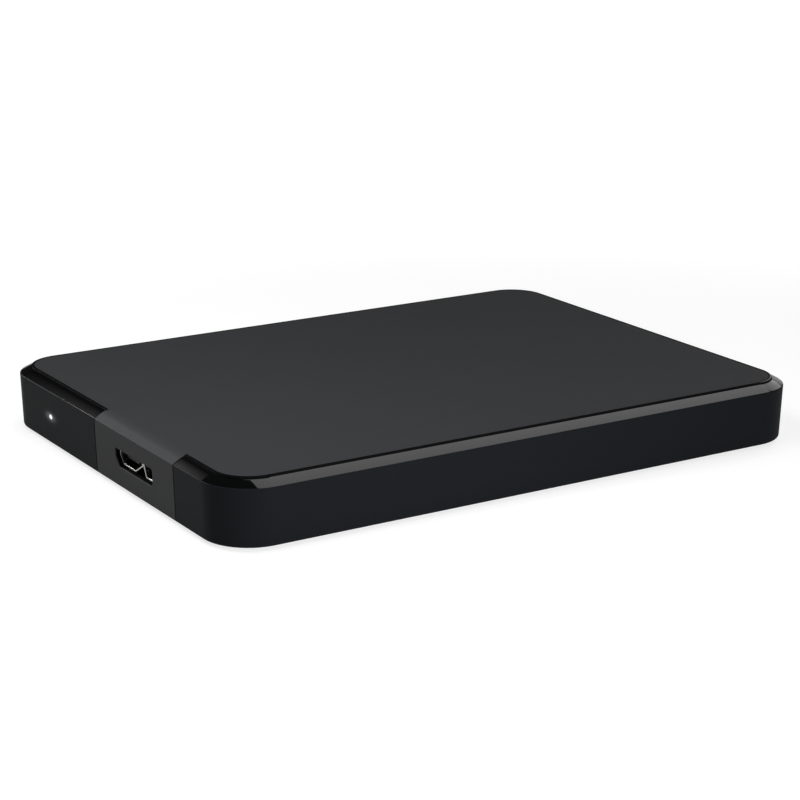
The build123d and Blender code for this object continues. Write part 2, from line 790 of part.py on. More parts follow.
ramp_spot = turned(park_dir, 0).from_local_coords((tab_end + ramp_lip + ramp_l / 2, 0, 0))
ramp_top_z = disk_z + shelf_half + ramp_lip
ramp_screw = screws([(ramp_spot.X, ramp_spot.Y)], ramp_top_z, 1, ramp_top_z - chamber_z)
keep(ramp_screw, "ramp_screw")

# Flexible circuit: its bracket on the casting with the free loop, and the tail on the comb
flex_z = disk_z - flex_w / 2
bracket_y = bay_front_y + bracket_inset
with BuildPart() as flex_bracket:
    with BuildSketch(Plane.XY.offset(chamber_z)):
        with Locations((bracket_x, bracket_y)):
            Rectangle(bracket_l, bracket_w)
    extrude(amount=bracket_t)
    with BuildSketch(Plane.XY.offset(chamber_z + bracket_t)):
        with Locations((bracket_x, bracket_y)):
            Rectangle(bracket_l - 2 * bracket_step, bracket_w - 2 * bracket_step)
    extrude(amount=flex_z + flex_w - chamber_z - bracket_t)
    with BuildSketch(Plane.XY.offset(flex_z)):
        with BuildLine() as loop_line:
            loop_end = turned(park_dir + loop_turn, 0).from_local_coords((boss_r + 2 * flex_t, 0, 0))
            loop_low = (pivot_x - loop_sag_x, bracket_y - loop_sag_y)
            ThreePointArc((loop_end.X, loop_end.Y), loop_low, (bracket_x + bracket_l / 2, bracket_y))
            Line((bracket_x + bracket_l / 2, bracket_y), (bracket_x, bracket_y))
        trace(line_width=flex_t)
    extrude(amount=flex_w)
keep(flex_bracket, "flex_bracket")

tail_plan = fan(boss_r + fit_gap, boss_r + flex_t, tail_half_angle)
with BuildPart() as flex_tail:
    with BuildSketch(turned(park_dir + tail_turn, flex_z)):
        add(tail_plan)
    extrude(amount=flex_w)
keep(flex_tail, "flex_tail")

# Filters: a pad in the disk's air stream, and a felt square on the lid's breathing hole
filter_half = (filter_l * cos(radians(filter_turn)) + filter_w * sin(radians(filter_turn))) / 2
with BuildPart() as recirculation_filter:
    with BuildSketch(Plane.XY.offset(chamber_z)):
        beside_boss_x = board_screw_x - screw_r - boss_wall - board_clear
        with Locations((beside_boss_x - filter_half, bay_rear_y - filter_ahead)):
            Rectangle(filter_l, filter_w, rotation=filter_turn)
    extrude(amount=lid_z - lid_gap - chamber_z)
keep(recirculation_filter, "recirculation_filter")

with BuildPart() as breather_filter:
    with BuildSketch(Plane.XY.offset(lid_z)):
        with Locations((breather_in_x - bay_half, bay_front_y + breather_in_y)):
            Rectangle(breather_w, breather_w)
    extrude(amount=-breather_t)
keep(breather_filter, "breather_filter")

# Circuit board under the casting, with its chips, insulator and foil
with BuildPart() as circuit_board:
    board_back_y = drive_front_y + board_clear
    with BuildSketch(Plane.XY.offset(board_z)):
        with Locations((0, board_back_y)):
            Rectangle(2 * board_half, board_length, align=(Align.CENTER, Align.MIN))
        with Locations((led_x - board_tab_room, board_front_y)):
            tab_l = port_left + port_w - led_x + 2 * board_tab_room
            Rectangle(tab_l, board_overhang + board_clear, align=(Align.MIN, Align.MIN))
        with Locations(*board_screw_spots):
            RegularPolygon(screw_r + screw_gap, shank_sides, mode=Mode.SUBTRACT)
        # The rear edge curves round the motor
        with Locations((0, spindle_y)):
            RegularPolygon(well_r + drive_wall + board_clear, ring_sides, mode=Mode.SUBTRACT)
    extrude(amount=board_t)
keep(circuit_board, "circuit_board")

for name, (chip_w, chip_l, chip_x, chip_y) in chips.items():
    with BuildPart() as chip:
        with BuildSketch(Plane.XY.offset(board_z)):
            with Locations((chip_x, drive_front_y + chip_y)):
                Rectangle(chip_w, chip_l)
        extrude(amount=-chip_t)
        chamfer(chip.edges().group_by(Axis.Z)[0], length=chip_edge)
    keep(chip, name)

with BuildPart() as board_insulator:
    with BuildSketch(Plane.XY.offset(board_top_z)):
        with Locations((0, drive_front_y + front_block)):
            Rectangle(foil_width, foil_length - front_block, align=(Align.CENTER, Align.MIN))
    extrude(amount=board_gap)
keep(board_insulator, "board_insulator")

with BuildPart() as shield_foil:
    with BuildSketch(Plane.XY.offset(drive_z)):
        with Locations((0, drive_front_y + board_length + 2 * board_clear + foil_lap)):
            Rectangle(foil_width, foil_length, align=(Align.CENTER, Align.MAX))
    extrude(amount=-foil_t)
keep(shield_foil, "shield_foil")

# Status light, and the clear block and pin that carry it to the port end
with BuildPart() as status_led:
    with BuildSketch(Plane.XY.offset(board_top_z)):
        with Locations((led_x, board_front_y)):
            Rectangle(led_w, led_d, align=(Align.CENTER, Align.MIN))
    extrude(amount=led_h)
keep(status_led, "status_led")

face_y = draft * (rim_z - led_z) / (rim_z - case_z) - half_l
with BuildPart() as light_pipe:
    with BuildSketch(Plane.XZ.offset(-face_y - pipe_gap)):
        with Locations((led_x, led_z)):
            RegularPolygon(pipe_r, pipe_sides)
    extrude(amount=face_y + pipe_gap + cavity_l)
    with BuildSketch(Plane.XZ.offset(cavity_l)):
        with Locations((led_x, led_z)):
            Rectangle(pipe_block_w, pipe_block_w)
    extrude(amount=pipe_gap - board_front_y - cavity_l)
keep(light_pipe, "light_pipe")

# Socket: metal shell with two cavities, insulator with two blades, contacts
port_right = port_left + port_w
notch_x = port_right - port_ss_w - port_notch_r
notch_z = port_top_z - port_notch_top
main_flat_x = notch_x - port_notch_l


def main_cavity(gap):
    """Corners of the socket's wide cavity, a gap inside the sheet."""
    inset = port_sheet + gap
    return [(port_left + inset, port_top_z - inset),
            (port_left + inset, port_z + port_slope_h + inset / 2),
            (port_left + port_slope_w + inset / 2, port_z + inset),
            (main_flat_x - inset / 2, port_z + inset),
            (notch_x - 2 * inset, notch_z), (notch_x - 2 * inset, port_top_z - inset)]


def side_cavity(gap):
    """Corners of the socket's narrow cavity, a gap inside the sheet."""
    inset = port_sheet + gap
    return [(notch_x + inset, port_top_z - inset), (port_right - inset, port_top_z - inset),
            (port_right - inset, port_z + port_edge_cut + inset / 2),
            (port_right - port_edge_cut - inset / 2, port_z + inset),
            (notch_x + port_notch_r + inset, port_z + inset)]


with BuildPart() as usb_shell:
    with BuildSketch(Plane.XZ.offset(-port_front_y)):
        Polygon((port_left, port_top_z), (port_left, port_z + port_slope_h),
                (port_left + port_slope_w, port_z), (main_flat_x, port_z),
                (notch_x, notch_z), (notch_x + port_notch_r, port_z),
                (port_right - port_edge_cut, port_z), (port_right, port_z + port_edge_cut),
                (port_right, port_top_z), align=None)
        Polygon(*main_cavity(0), align=None, mode=Mode.SUBTRACT)
        Polygon(*side_cavity(0), align=None, mode=Mode.SUBTRACT)
    extrude(amount=-port_length)
    # Solder feet down to the board
    with BuildSketch(Plane.XY.offset(port_z)):
        for solder_x in (port_left + port_slope_w, main_flat_x - solder_foot_w, port_right - port_edge_cut):
            with Locations((solder_x, port_front_y + port_length)):
                Rectangle(solder_foot_w, solder_foot_l, align=(Align.CENTER, Align.MAX))
    extrude(amount=-port_seat)
keep(usb_shell, "usb_shell")

blade_z = port_top_z - port_sheet - blade_drop - blade_t
blade_spans = [(port_left + port_slope_w, main_flat_x),
               (notch_x + port_notch_r, port_right - port_edge_cut)]
throat_y = port_front_y + port_throat
with BuildPart() as usb_insulator:
    with BuildSketch(Plane.XZ.offset(-throat_y)):
        Polygon(*main_cavity(fit_gap), align=None)
        Polygon(*side_cavity(fit_gap), align=None)
    extrude(amount=port_throat - port_length)
    with BuildSketch(Plane.XZ.offset(-port_front_y - port_length)):
        with Locations(((port_left + port_right) / 2, (port_z + port_top_z) / 2)):
            Rectangle(port_w, port_h)
    extrude(amount=-port_back_t)
    for blade_left, blade_right in blade_spans:
        with BuildSketch(Plane.XZ.offset(-throat_y)):
            with Locations((blade_left, blade_z)):
                Rectangle(blade_right - blade_left, blade_t, align=(Align.MIN, Align.MIN))
        extrude(amount=blade_reach)
keep(usb_insulator, "usb_insulator")

with BuildPart() as usb_contacts:
    for blade_left, blade_right in blade_spans:
        pitch = (blade_right - blade_left) / contact_count
        with BuildSketch(Plane.XZ.offset(-throat_y)):
            for contact in range(contact_count):
                with Locations((blade_left + (contact + 0.5) * pitch, blade_z)):
                    Rectangle(contact_share * pitch, contact_t, align=(Align.CENTER, Align.MAX))
        extrude(amount=blade_reach - contact_setback)
keep(usb_contacts, "usb_contacts")
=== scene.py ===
# %% [markdown]
# # A slim portable hard drive
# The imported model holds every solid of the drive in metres: two clipped plastic shells, and a small disk
# mechanism between them. This lesson keeps that model as a fixed frame. It remodels what the eye meets,
# the shells, the socket and the feet, and gives every piece a finish of its own.

import json
from math import cos, hypot, pi, radians, sin

import bmesh
import bpy
from mathutils import Matrix, Vector

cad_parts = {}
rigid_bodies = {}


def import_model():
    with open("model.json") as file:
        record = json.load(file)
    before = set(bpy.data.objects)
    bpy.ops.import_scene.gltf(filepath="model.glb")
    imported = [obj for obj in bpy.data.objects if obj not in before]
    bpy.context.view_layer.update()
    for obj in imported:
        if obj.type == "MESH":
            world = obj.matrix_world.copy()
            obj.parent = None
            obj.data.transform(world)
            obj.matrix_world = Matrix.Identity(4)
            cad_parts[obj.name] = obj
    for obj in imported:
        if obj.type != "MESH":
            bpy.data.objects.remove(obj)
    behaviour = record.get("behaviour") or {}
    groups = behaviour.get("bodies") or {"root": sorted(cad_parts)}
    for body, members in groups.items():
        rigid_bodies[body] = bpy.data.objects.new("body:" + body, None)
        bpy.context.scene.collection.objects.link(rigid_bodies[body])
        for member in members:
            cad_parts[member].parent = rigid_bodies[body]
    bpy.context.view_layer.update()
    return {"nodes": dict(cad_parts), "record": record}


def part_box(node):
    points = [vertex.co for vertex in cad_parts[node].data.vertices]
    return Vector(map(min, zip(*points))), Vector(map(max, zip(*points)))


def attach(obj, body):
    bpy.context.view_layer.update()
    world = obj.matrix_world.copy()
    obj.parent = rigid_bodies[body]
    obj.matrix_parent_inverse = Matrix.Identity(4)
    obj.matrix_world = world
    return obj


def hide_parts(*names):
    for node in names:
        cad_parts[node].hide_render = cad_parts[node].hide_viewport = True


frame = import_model()
MM = 0.001

# %% [markdown]
# ## The camera
# The drive was photographed from close by, with a long lens, over its near corner. Its straight edges fix
# the view: the direction, the distance and the focal length below put all of them where the picture has
# them. Setting the camera first means that each later step can be compared with the photograph.

# %% Camera at the photograph's viewing angle
view_azimuth = radians(57.597)
view_elevation = radians(16.401)
view_roll = radians(0.293)
view_distance = 374.29 * MM
view_target = Vector((0, 0, 8.0 * MM))
slide_right = 0.143 * MM
slide_up = -2.445 * MM
sensor_width = 36.0
focal_length = 97.89
nearest_seen = 0.01

back = Vector((sin(view_azimuth) * cos(view_elevation), -cos(view_azimuth) * cos(view_elevation),
               sin(view_elevation)))
level_right = Vector((cos(view_azimuth), sin(view_azimuth), 0))
level_up = back.cross(level_right)
right = level_right * cos(view_roll) + level_up * sin(view_roll)
up = level_up * cos(view_roll) - level_right * sin(view_roll)
camera_place = view_target + back * view_distance + right * slide_right + up * slide_up

lens = bpy.data.cameras.new("camera")
lens.sensor_width = sensor_width
lens.lens = focal_length
lens.clip_start = nearest_seen
camera = bpy.data.objects.new("camera", lens)
bpy.context.scene.collection.objects.link(camera)
camera.matrix_world = Matrix.Translation(camera_place) @ Matrix((right, up, back)).transposed().to_4x4()
bpy.context.scene.camera = camera
print("camera at", [round(v, 3) for v in camera_place])

# %% [markdown]
# ## Nodes and colours
# Every finish below is a small node tree. Colours are written as the hex values that a paint program shows,
# and one function turns them to the linear light that the renderer counts in. One more adds a node, sets
# its sockets, and links those that are given another node's output.

# %% Helpers for the finishes
def linear(hex_colour):
    """Turn an sRGB hex value into a linear colour with full alpha."""
    channels = [int(hex_colour[i:i + 2], 16) / 255 for i in (1, 3, 5)]
    return tuple(c / 12.92 if c <= 0.04045 else ((c + 0.055) / 1.055) ** 2.4 for c in channels) + (1.0,)


def add_node(tree, kind, sockets=None, **settings):
    """Add a node with its settings; a socket is given a value, or an output to link."""
    node = tree.nodes.new(kind)
    for name, value in settings.items():
        setattr(node, name, value)
    for name, value in (sockets or {}).items():
        if isinstance(value, bpy.types.NodeSocket):
            tree.links.new(value, node.inputs[name])
        else:
            node.inputs[name].default_value = value
    return node


def bare_material(name):
    """A material with an empty node tree."""
    material = bpy.data.materials.new(name)
    material.use_nodes = True
    material.node_tree.nodes.clear()
    return material, material.node_tree


print("mid grey is", round(linear("#808080")[0], 3))

# %% [markdown]
# ## Floor and light
# A pack shot like this one stands on white, under a large softbox that hangs high behind the object. The
# long bevel mirrors that box, two more carry the shine round the far corner, and the near bevel faces the
# dark and stays black but for the soft fade of a dim screen. A small box on the left lights the bend of
# the cover. Three soft lamps, above the port end, beside the long side and behind, set the plain level of
# the matte faces; the gloss doesn't mirror them. The floor is lit by the same lamps, and a little glow of
# its own, for rays that see it as a background, takes it to white while the shadow stays.

# %% Floor
floor_reach = 4.0
floor_sides = 96
floor_grey = "#a8a8a8"
glow_near = 0.76
glow_far = 1.0
glow_from = 0.10
glow_to = 0.30
mirror_share = 0.3


def add_piece(name, bm):
    """Make a mesh object at the origin from a bmesh."""
    mesh = bpy.data.meshes.new(name)
    bm.to_mesh(mesh)
    bm.free()
    piece = bpy.data.objects.new(name, mesh)
    bpy.context.scene.collection.objects.link(piece)
    return piece


floor_bm = bmesh.new()
bmesh.ops.create_circle(floor_bm, cap_ends=True, segments=floor_sides, radius=floor_reach)
floor = add_piece("floor", floor_bm)

# White paper sweep: dull, with a glow that rises away from the object
material, tree = bare_material("white paper")
rays = add_node(tree, "ShaderNodeLightPath")
spot = add_node(tree, "ShaderNodeTexCoord")
reach = add_node(tree, "ShaderNodeVectorMath", {0: spot.outputs["Object"]}, operation="LENGTH")
glow = add_node(tree, "ShaderNodeMapRange", {"Value": reach.outputs["Value"], "From Min": glow_from,
                "From Max": glow_to, "To Min": glow_near, "To Max": glow_far},
                interpolation_type="SMOOTHSTEP")
mirrored = add_node(tree, "ShaderNodeMath", {0: rays.outputs["Is Glossy Ray"],
                    1: rays.outputs["Is Transmission Ray"]}, operation="MAXIMUM")
dimmed = add_node(tree, "ShaderNodeMath", {0: mirrored.outputs[0], 1: mirror_share}, operation="MULTIPLY")
seen = add_node(tree, "ShaderNodeMath", {0: rays.outputs["Is Camera Ray"], 1: dimmed.outputs[0]},
                operation="MAXIMUM")
strength = add_node(tree, "ShaderNodeMath", {0: glow.outputs[0], 1: seen.outputs[0]}, operation="MULTIPLY")
paper = add_node(tree, "ShaderNodeBsdfDiffuse", {"Color": linear(floor_grey)})
shine = add_node(tree, "ShaderNodeEmission", {"Strength": strength.outputs[0]})
both = add_node(tree, "ShaderNodeAddShader", {0: paper.outputs[0], 1: shine.outputs[0]})
add_node(tree, "ShaderNodeOutputMaterial", {"Surface": both.outputs[0]})
floor.data.materials.append(material)
print("floor", floor_reach, "m")

# %% Lamps and surroundings
def softbox(name, place, aim, width, height, level, mirrored=True):
    """Area lamp that faces a point; level is the brightness of its face, which the gloss may mirror."""
    lamp = bpy.data.lights.new(name, "AREA")
    lamp.shape = "RECTANGLE"
    lamp.size = width
    lamp.size_y = height
    lamp.energy = level * pi * width * height
    box = bpy.data.objects.new(name, lamp)
    bpy.context.scene.collection.objects.link(box)
    facing = (Vector(aim) - Vector(place)).to_track_quat("-Z", "Y").to_matrix().to_4x4()
    box.matrix_world = Matrix.Translation(place) @ facing
    box.visible_camera = False
    box.visible_glossy = mirrored
    print(name, round(lamp.energy, 2), "W")


middle = (0, 0, 0)
softbox("overhead box", (-0.30, 0.98, 1.60), (-0.30, 0.98, 0.0), width=1.20, height=1.38, level=1.47)
softbox("back box", (-0.677, 1.594, 1.00), middle, width=0.50, height=0.887, level=1.25)
softbox("far box", (-1.148, 1.580, 0.433), middle, width=0.52, height=0.80, level=0.6)
softbox("left box", (-0.478, -0.203, 0.21), middle, width=0.20, height=0.20, level=9.6)
softbox("near lamp", (0.03, -0.065, 0.12), (0.03, -0.065, 0), width=0.08, height=0.08, level=5.2,
        mirrored=False)
softbox("side lamp", (0.165, -0.02, 0.03), (0.041, -0.02, 0.006), width=0.05, height=0.03, level=29.0,
        mirrored=False)
softbox("back lamp", (-0.42, 0.50, 0.06), middle, width=0.46, height=0.11, level=15.0, mirrored=False)

world_level = 0.02
world = bpy.data.worlds.new("studio")
world.use_nodes = True
background = world.node_tree.nodes["Background"]
background.inputs["Color"].default_value = linear("#ffffff")
background.inputs["Strength"].default_value = world_level
bpy.context.scene.world = world
bpy.context.scene.view_settings.view_transform = "Standard"

# %% Screen that the port end mirrors
screen_x = -0.80
screen_dark = -0.002
screen_bright = -0.12
screen_foot = 0.385
screen_peak = 0.515
screen_head = 0.565
screen_level = 0.58

screen_bm = bmesh.new()
screen_corners = ((screen_dark, screen_foot), (screen_bright, screen_foot),
                  (screen_bright, screen_head), (screen_dark, screen_head))
screen_bm.faces.new([screen_bm.verts.new((screen_x, y, z)) for y, z in screen_corners])
screen = add_piece("screen", screen_bm)
screen.visible_camera = False
screen.visible_diffuse = False
screen.visible_shadow = False

# Lit cloth: dark at its far edge, bright at its near one, and faded at foot and head
material, tree = bare_material("lit cloth")
spot = add_node(tree, "ShaderNodeTexCoord")
axes = add_node(tree, "ShaderNodeSeparateXYZ", {"Vector": spot.outputs["Object"]})
across = add_node(tree, "ShaderNodeMapRange", {"Value": axes.outputs["Y"], "From Min": screen_dark,
                  "From Max": screen_bright, "To Max": screen_level})
below = add_node(tree, "ShaderNodeMapRange", {"Value": axes.outputs["Z"], "From Min": screen_foot,
                 "From Max": screen_peak})
above = add_node(tree, "ShaderNodeMapRange", {"Value": axes.outputs["Z"], "From Min": screen_head,
                 "From Max": screen_peak})
upright = add_node(tree, "ShaderNodeMath", {0: below.outputs[0], 1: above.outputs[0]}, operation="MULTIPLY")
strength = add_node(tree, "ShaderNodeMath", {0: across.outputs[0], 1: upright.outputs[0]},
                    operation="MULTIPLY")
shine = add_node(tree, "ShaderNodeEmission", {"Strength": strength.outputs[0]})
add_node(tree, "ShaderNodeOutputMaterial", {"Surface": shine.outputs[0]})
screen.data.materials.append(material)
print("screen", round(screen_head - screen_foot, 3), "m high")

# %% [markdown]
# ## Sizes read off the frame
# The solids give the outer sizes, so nothing here can drift away from them. What the solids draw plainly,
# such as the rounding of an edge, is named where it is used. The helpers that follow do what every piece
# needs: apply its modifiers, cut it or join to it with a tool shape, and break its edges. A Bevel modifier
# with an angle limit breaks only the sharp ones, and weighted normals keep the flats flat.

# %% Main sizes
case_low, case_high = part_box("bottom_case")
cover_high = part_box("top_cover")[1]
socket_low, socket_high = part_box("usb_shell")
pipe_low, pipe_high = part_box("light_pipe")
draft = 0.31 * MM
wall = 1.5 * MM
floor_thickness = 1.3 * MM
rim_radius = 8.25 * MM
bevel_inset = 1.95 * MM
bevel_drop = 1.23 * MM
ledge_width = 1.6 * MM
ledge_drop = 0.8 * MM
ledge_thickness = 0.9 * MM
plate_thickness = 1.5 * MM
plate_gap = 0.12 * MM
step_gap = 0.2 * MM
seam = 0.12 * MM
tongue_x = 9.8 * MM
tongue_w = 27.9 * MM

half_w = case_high.x
half_l = case_high.y
case_z = case_low.z
bevel_z = case_high.z
top_z = cover_high.z
rim_z = top_z - bevel_drop
floor_z = case_z + floor_thickness
ledge_z = top_z - ledge_drop
ledge_under_z = ledge_z - ledge_thickness
plate_z = top_z - plate_thickness
wall_inset = draft + wall
ledge_inset = bevel_inset + ledge_width
plate_inset = bevel_inset + plate_gap
step_inset = ledge_inset + step_gap
print("case", [round(2 * v / MM, 2) for v in (half_w, half_l)], "mm, top at", round(top_z / MM, 2))

# %% Mesh helpers
weld = 0.002 * MM


def settle(piece):
    """Apply a piece's modifiers to its own mesh."""
    depsgraph = bpy.context.evaluated_depsgraph_get()
    piece.data = bpy.data.meshes.new_from_object(piece.evaluated_get(depsgraph))
    piece.modifiers.clear()


def combine(piece, bm, operation):
    """Cut a tool shape out of a piece, or join it on."""
    tool = add_piece("tool", bm)
    step = piece.modifiers.new(operation.lower(), "BOOLEAN")
    step.operation = operation
    step.solver = "EXACT"
    step.object = tool
    settle(piece)
    bpy.data.objects.remove(tool)


def soften(piece, width, segments, angle):
    """Round the sharp edges a little, and shade the flats as flats."""
    edge = piece.modifiers.new("edges", "BEVEL")
    edge.width = width
    edge.segments = segments
    edge.limit_method = "ANGLE"
    edge.angle_limit = radians(angle)
    settle(piece)
    piece.data.polygons.foreach_set("use_smooth", [True] * len(piece.data.polygons))
    piece.data.set_sharp_from_angle(angle=radians(angle))
    normals = piece.modifiers.new("normals", "WEIGHTED_NORMAL")
    normals.keep_sharp = True
    settle(piece)


def thicken(bm, depth):
    """Extrude the flat faces of a bmesh along a vector into a closed solid."""
    grown = bmesh.ops.extrude_face_region(bm, geom=bm.faces[:], use_keep_orig=True)["geom"]
    bmesh.ops.translate(bm, verts=[g for g in grown if isinstance(g, bmesh.types.BMVert)], vec=depth)
    bmesh.ops.recalc_face_normals(bm, faces=bm.faces[:])


def box_tool(low, high):
    """A box between two corners, as a tool shape."""
    bm = bmesh.new()
    bmesh.ops.create_cube(bm, size=1.0)
    bmesh.ops.scale(bm, verts=bm.verts[:], vec=Vector(high) - Vector(low))
    bmesh.ops.translate(bm, verts=bm.verts[:], vec=(Vector(high) + Vector(low)) / 2)
    return bm


print("mesh helpers ready")

# %% [markdown]
# ## The bottom case
# The case is one moulding: a tub with drafted satin sides, and a polished bevel round the top. Seen from
# above it is a rounded rectangle, and its wall has the same section all the way round. So the section is
# drawn once, carried along each straight run and spun round each corner, as a moulder's cutter would go.
# The bevel is slightly crowned, which is what bends the reflections in it.

# %% Wall section
bevel_crown = 0.03 * MM
crown_points = 10

bevel_rise = bevel_z - rim_z
bevel_width = hypot(bevel_inset, bevel_rise)
crown = []
# A parabola lifts the middle of the bevel square off its slope
for i in range(crown_points + 1):
    t = i / crown_points
    lift = 4 * t * (1 - t) * bevel_crown / bevel_width
    crown.append((t * bevel_inset - lift * bevel_rise, rim_z + t * bevel_rise + lift * bevel_inset))
section = [(draft, case_z)] + crown + [
    (bevel_inset, ledge_z), (ledge_inset, ledge_z), (ledge_inset, ledge_under_z),
    (wall_inset, ledge_under_z), (wall_inset, floor_z)]
print("wall section of", len(section), "points")

# %% Carry the section round
corner_steps = 20


def carry_round(bm, section):
    """Carry the section along the four runs and round the four corners."""
    run_x = half_w - rim_radius
    run_y = half_l - rim_radius
    wire = [bm.verts.new((half_w - inset, -run_y, z)) for inset, z in section]
    edges = [bm.edges.new(pair) for pair in zip(wire, wire[1:])]
    runs = ((0, 2 * run_y, 0), (-2 * run_x, 0, 0), (0, -2 * run_y, 0), (2 * run_x, 0, 0))
    corners = ((run_x, run_y, 0), (-run_x, run_y, 0), (-run_x, -run_y, 0), (run_x, -run_y, 0))
    for run, corner in zip(runs, corners):
        grown = bmesh.ops.extrude_edge_only(bm, edges=edges)["geom"]
        moved = [g for g in grown if isinstance(g, bmesh.types.BMVert)]
        bmesh.ops.translate(bm, verts=moved, vec=run)
        ahead = set(moved)
        front = [g for g in grown if isinstance(g, bmesh.types.BMEdge) and set(g.verts) <= ahead]
        turned = bmesh.ops.spin(bm, geom=moved + front, cent=corner, axis=(0, 0, 1), angle=pi / 2,
                                steps=corner_steps)["geom_last"]
        edges = [g for g in turned if isinstance(g, bmesh.types.BMEdge)]
    bmesh.ops.remove_doubles(bm, verts=bm.verts[:], dist=weld)
    bmesh.ops.holes_fill(bm, edges=[e for e in bm.edges if e.is_boundary], sides=0)
    bmesh.ops.recalc_face_normals(bm, faces=bm.faces[:])


def round_level(bm, level, offset, segments):
    """Round the edge loop at one height."""
    loop = [e for e in bm.edges if all(abs(v.co.z - level) < weld for v in e.verts)]
    bmesh.ops.bevel(bm, geom=loop, offset=offset, offset_type="OFFSET", segments=segments, profile=0.5,
                    affect="EDGES", material=-1)


rim_round = 0.14 * MM
foot_round = 0.5 * MM

case_bm = bmesh.new()
carry_round(case_bm, section)
round_level(case_bm, rim_z, rim_round, segments=5)
round_level(case_bm, case_z, foot_round, segments=5)
open_edges = sum(e.is_boundary for e in case_bm.edges)
case = add_piece("case_shell", case_bm)
print("case shell:", len(case.data.polygons), "faces,", open_edges, "open edges")

# %% Notch for the cover's tongue, and the hole of the light pipe
pipe_x = (pipe_low.x + pipe_high.x) / 2
pipe_z = (pipe_low.z + pipe_high.z) / 2
pipe_r = 0.6 * MM
pipe_room = 0.03 * MM
pipe_sides = 32
clear = 1.0 * MM
seam_edge = 0.06 * MM
notch_low_x = tongue_x - tongue_w / 2 - seam - seam_edge
notch_high_x = tongue_x + tongue_w / 2 + seam + seam_edge

combine(case, box_tool((notch_low_x, -half_l - clear, 0),
                       (notch_high_x, wall_inset - half_l, top_z)), "DIFFERENCE")
combine(case, box_tool((notch_low_x, -half_l - clear, ledge_under_z),
                       (notch_high_x, step_inset - half_l, top_z)), "DIFFERENCE")
hole_bm = bmesh.new()
bmesh.ops.create_cone(hole_bm, cap_ends=True, segments=pipe_sides, radius1=pipe_r + pipe_room,
                      radius2=pipe_r + pipe_room, depth=2 * wall_inset)
bmesh.ops.rotate(hole_bm, verts=hole_bm.verts[:], matrix=Matrix.Rotation(pi / 2, 3, "X"))
bmesh.ops.translate(hole_bm, verts=hole_bm.verts[:], vec=(pipe_x, -half_l, pipe_z))
combine(case, hole_bm, "DIFFERENCE")
soften(case, width=0.07 * MM, segments=2, angle=38)
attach(case, "case")
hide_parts("bottom_case")
print("case shell cut:", len(case.data.polygons), "faces")

# %% [markdown]
# ## The cover
# The matte cover is a plate that sits a hair above the bevel, with a narrow lip round it that the paint
# leaves free, and a tongue that rolls over the port end in one soft bend and runs down flush with the
# sides. The plate and the tongue are made as two plain solids and joined, because the bend belongs to the
# tongue alone.

# %% Plate
def rounded_slab(inset, top, low):
    """A slab with the case's rounded outline, moved in by an inset."""
    x = half_w - inset
    y = half_l - inset
    bm = bmesh.new()
    corners = ((-x, -y, top), (x, -y, top), (x, y, top), (-x, y, top))
    bm.faces.new([bm.verts.new(corner) for corner in corners])
    bmesh.ops.bevel(bm, geom=bm.verts[:], offset=rim_radius - inset, offset_type="OFFSET",
                    segments=corner_steps, profile=0.5, affect="VERTICES", material=-1)
    thicken(bm, (0, 0, low - top))
    return bm


tongue_root = 8.0 * MM
lap = 0.5 * MM
lip_width = 0.45 * MM
facing_up = 0.9
tongue_left = tongue_x - tongue_w / 2 + seam_edge
tongue_right = tongue_x + tongue_w / 2 - seam_edge

plate_bm = rounded_slab(plate_inset, top_z, ledge_z)
plate_top = [f for f in plate_bm.faces if f.normal.z > facing_up]
bmesh.ops.inset_region(plate_bm, faces=plate_top, thickness=lip_width, use_even_offset=True)
cover = add_piece("cover_plate", plate_bm)
combine(cover, rounded_slab(step_inset, ledge_z + lap / 2, plate_z), "UNION")
combine(cover, box_tool((tongue_left, -half_l - clear, 0), (tongue_right, tongue_root - half_l, 2 * top_z)),
        "DIFFERENCE")
print("plate:", len(cover.data.polygons), "faces")

# %% Tongue
blend_reach = 1.1 * MM
crease_round = 0.12 * MM
inner_y = wall_inset - seam - half_l

side_view = [(-half_l, rim_z), (plate_inset - half_l, top_z), (tongue_root + lap - half_l, top_z),
             (tongue_root + lap - half_l, plate_z), (inner_y, plate_z), (inner_y, case_z),
             (draft - half_l, case_z)]
tongue_bm = bmesh.new()
points = [tongue_bm.verts.new((tongue_left, y, z)) for y, z in side_view]
tongue_bm.faces.new(points)
crease, bend, foot_edge = points[0], points[1], points[-1]
for corner, reach, segments in ((bend, blend_reach, 12), (crease, crease_round, 4),
                                (foot_edge, foot_round, 5)):
    bmesh.ops.bevel(tongue_bm, geom=[corner], offset=reach, offset_type="OFFSET", segments=segments,
                    profile=0.5, affect="VERTICES", material=-1)
thicken(tongue_bm, (tongue_right - tongue_left, 0, 0))
combine(cover, tongue_bm, "UNION")
print("plate and tongue:", len(cover.data.polygons), "faces")

# %% Port window
window_gap = 0.4 * MM
lintel_gap = 0.12 * MM
window_round = 0.14 * MM
slope_w = 1.25 * MM
slope_h = 1.5 * MM
edge_cut = 0.6 * MM
cut_depth = 4.0 * MM
mouth_height = 2.3 * MM

window_left = socket_low.x - window_gap
window_right = socket_high.x + window_gap
window_low = socket_high.z - mouth_height - window_gap
window_high = socket_high.z + lintel_gap
window = [(window_left, window_high), (window_left, window_low + slope_h),
          (window_left + slope_w, window_low), (window_right - edge_cut, window_low),
          (window_right, window_low + edge_cut), (window_right, window_high)]
window_bm = bmesh.new()
window_bm.faces.new([window_bm.verts.new((x, -half_l - clear, z)) for x, z in window])
thicken(window_bm, (0, cut_depth, 0))
combine(cover, window_bm, "DIFFERENCE")
print("port window cut:", len(cover.data.polygons), "faces")

